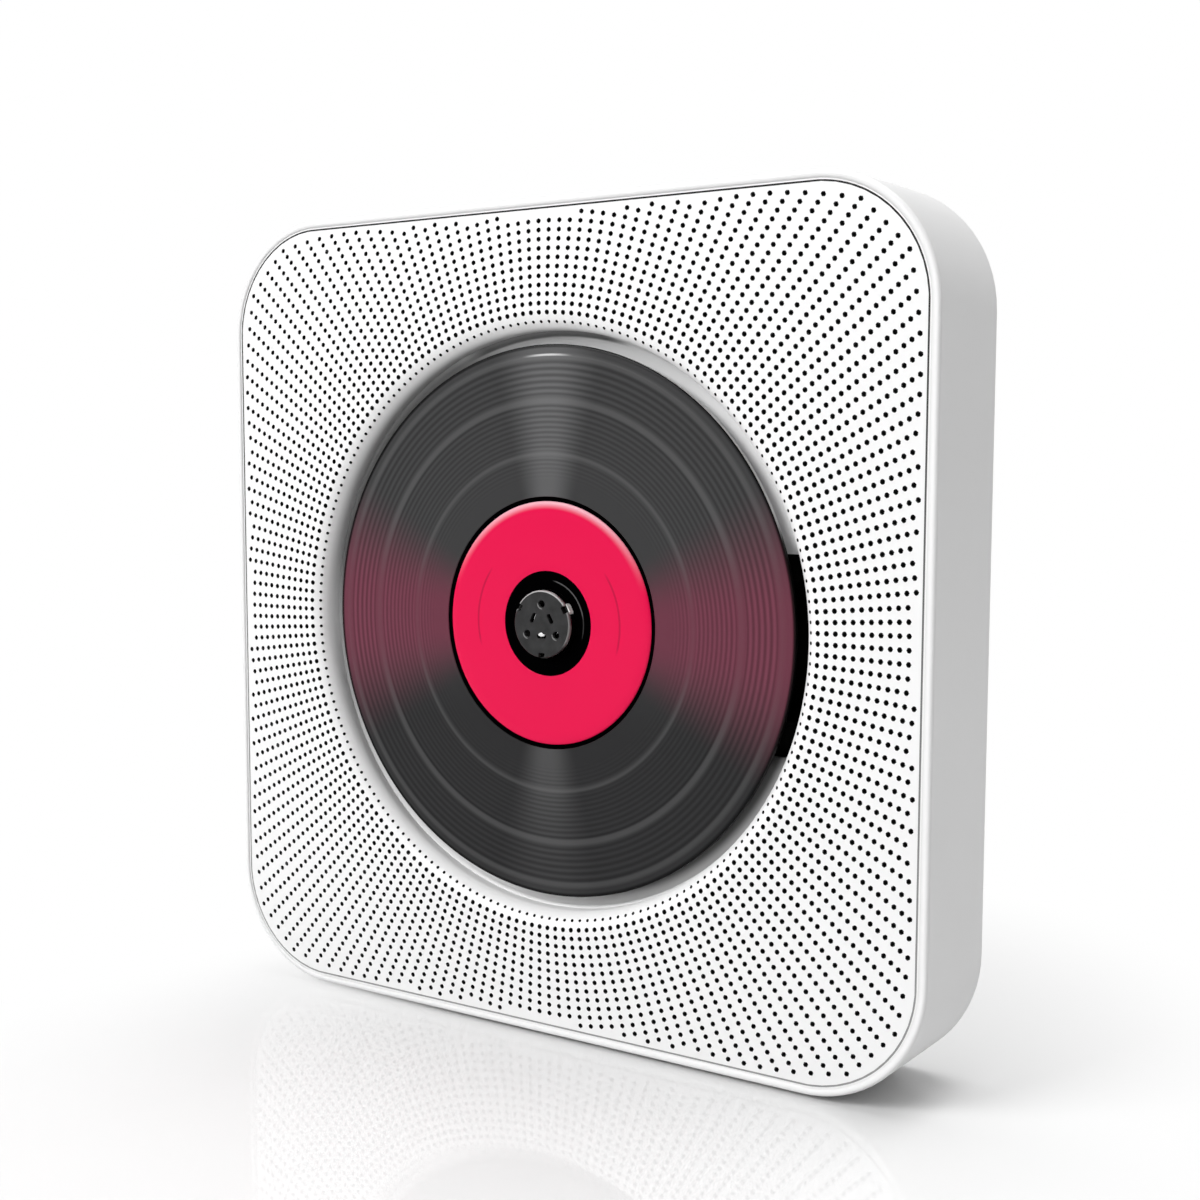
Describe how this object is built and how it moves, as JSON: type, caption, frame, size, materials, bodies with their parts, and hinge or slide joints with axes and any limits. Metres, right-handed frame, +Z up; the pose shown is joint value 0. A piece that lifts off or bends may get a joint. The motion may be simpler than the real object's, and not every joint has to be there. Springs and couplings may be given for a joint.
{
  "type": "wall mounted cd player",
  "caption": "Square wall mounted CD player: round open disc well with a hub, perforated speaker panel, top keys, side sockets and keyholes in its back.",
  "frame": {"origin": "bottom centre of the overall box, under the feet, on the disc axis from side to side", "axes": "+X to the right seen from the front, -Y out of the front face, +Z up"},
  "size_m": [0.1808, 0.03, 0.1825],
  "materials": {
    "white_shell": "white ABS case moulding, fine satin grain",
    "panel_white": "white ABS front panel, smooth satin",
    "deck_white": "white ABS well floor, satin",
    "black_plastic": "black moulded plastic, matt",
    "gloss_black": "black moulded hub, glossy",
    "key_white": "white moulded key",
    "grey_rubber": "light grey rubber",
    "black_rubber": "black rubber",
    "steel": "zinc plated steel",
    "chrome_rod": "ground steel",
    "cast_alloy": "die cast alloy, grey",
    "lens_glass": "coated lens",
    "white_nylon": "natural nylon gear plastic",
    "brass": "turned brass",
    "board_green": "solder resist on glass fibre board",
    "paper_cone": "pressed paper, dark grey",
    "ferrite": "ferrite magnet and plate",
    "disc_polycarbonate": "printed polycarbonate disc, dark with a pink label"
  },
  "bodies": {
    "housing": {"housing_shell": "white_shell", "front_panel": "panel_white", "disc_deck": "deck_white", "rear_cover": "white_shell", "hanger_left": "steel", "hanger_right": "steel", "foot_left": "grey_rubber", "foot_right": "grey_rubber", "wall_bumpers": "grey_rubber", "mech_chassis": "black_plastic", "dampers": "black_rubber", "spindle_motor": "steel", "guide_rod_main": "chrome_rod", "guide_rod_aux": "chrome_rod", "sled_motor_bracket": "steel", "sled_motor": "steel", "main_board": "board_green", "board_parts": "black_plastic", "io_plate": "black_plastic", "usb_socket": "steel", "power_socket": "steel", "aux_jack": "black_plastic", "headphone_jack": "black_plastic", "power_switch": "black_plastic", "key_board": "board_green", "tact_switches": "black_plastic", "cover_screws": "steel", "deck_screws": "steel", "damper_screws": "steel", "speaker_screws": "steel", "small_screws": "steel", "speaker_frame_left": "steel", "speaker_cone_left": "paper_cone", "speaker_magnet_left": "ferrite", "speaker_frame_right": "steel", "speaker_cone_right": "paper_cone", "speaker_magnet_right": "ferrite"},
    "turntable": {"turntable": "gloss_black", "hub_cap": "gloss_black", "friction_ring": "black_rubber", "spindle_shaft": "chrome_rod", "claw_spring": "chrome_rod"},
    "disc": {"cd_disc": "disc_polycarbonate"},
    "claw_1": {"hub_claw_1": "gloss_black"},
    "claw_2": {"hub_claw_2": "gloss_black"},
    "claw_3": {"hub_claw_3": "gloss_black"},
    "sled": {"pickup_sled": "cast_alloy", "actuator_cover": "black_plastic", "sled_rack": "white_nylon"},
    "lens": {"lens_holder": "black_plastic", "pickup_lens": "lens_glass"},
    "gear": {"drive_gear": "white_nylon"},
    "pinion": {"motor_pinion": "brass", "sled_motor_shaft": "chrome_rod"},
    "knob": {"power_knob": "black_plastic"},
    "mode_button": {"mode_key": "key_white"},
    "previous_button": {"previous_key": "key_white"},
    "play_button": {"play_key": "key_white"},
    "next_button": {"next_key": "key_white"},
    "stop_button": {"stop_key": "key_white"}
  },
  "joints": [
    {"name": "turntable_spin", "type": "hinge", "parent": "housing", "child": "turntable", "pos_m": [0, 0, 0.0912], "axis": [0, 1, 0], "continuous": true},
    {"name": "disc_lift_off", "type": "slide", "parent": "turntable", "child": "disc", "axis": [0, -1, 0], "range_m": [0, 0.03]},
    {"name": "sled_travel", "type": "slide", "parent": "housing", "child": "sled", "axis": [1, 0, 0], "range_m": [0, 0.035]},
    {"name": "lens_focus", "type": "slide", "parent": "sled", "child": "lens", "axis": [0, -1, 0], "range_m": [-0.0004, 0.0004], "stiffness_N_per_m": 40},
    {"name": "gear_turn", "type": "hinge", "parent": "housing", "child": "gear", "pos_m": [0.044, 0, 0.0592], "axis": [0, 1, 0], "range_deg": [0, 501.4]},
    {"name": "pinion_turn", "type": "hinge", "parent": "housing", "child": "pinion", "pos_m": [0.03693, 0, 0.05213], "axis": [0, 1, 0], "range_deg": [-2006, 0]},
    {"name": "power_slide", "type": "slide", "parent": "housing", "child": "knob", "axis": [0, 0, 1], "range_m": [0, 0.003]},
    {"name": "claw_1_press", "type": "slide", "parent": "turntable", "child": "claw_1", "axis": [0.866, 0, 0.5], "range_m": [-0.0006, 0], "stiffness_N_per_m": 60, "springref_m": 0.001},
    {"name": "claw_2_press", "type": "slide", "parent": "turntable", "child": "claw_2", "axis": [-0.866, 0, 0.5], "range_m": [-0.0006, 0], "stiffness_N_per_m": 60, "springref_m": 0.001},
    {"name": "claw_3_press", "type": "slide", "parent": "turntable", "child": "claw_3", "axis": [0, 0, -1], "range_m": [-0.0006, 0], "stiffness_N_per_m": 60, "springref_m": 0.001},
    {"name": "mode_press", "type": "slide", "parent": "housing", "child": "mode_button", "axis": [0, 0, -1], "range_m": [0, 0.0006], "stiffness_N_per_m": 100, "springref_m": -0.002},
    {"name": "previous_press", "type": "slide", "parent": "housing", "child": "previous_button", "axis": [0, 0, -1], "range_m": [0, 0.0006], "stiffness_N_per_m": 100, "springref_m": -0.002},
    {"name": "play_press", "type": "slide", "parent": "housing", "child": "play_button", "axis": [0, 0, -1], "range_m": [0, 0.0006], "stiffness_N_per_m": 100, "springref_m": -0.002},
    {"name": "next_press", "type": "slide", "parent": "housing", "child": "next_button", "axis": [0, 0, -1], "range_m": [0, 0.0006], "stiffness_N_per_m": 100, "springref_m": -0.002},
    {"name": "stop_press", "type": "slide", "parent": "housing", "child": "stop_button", "axis": [0, 0, -1], "range_m": [0, 0.0006], "stiffness_N_per_m": 100, "springref_m": -0.002}
  ],
  "couplings": [
    {"joint": "gear_turn", "follows": "sled_travel", "rad_per_m": 250},
    {"joint": "pinion_turn", "follows": "sled_travel", "rad_per_m": -1000}
  ]
}
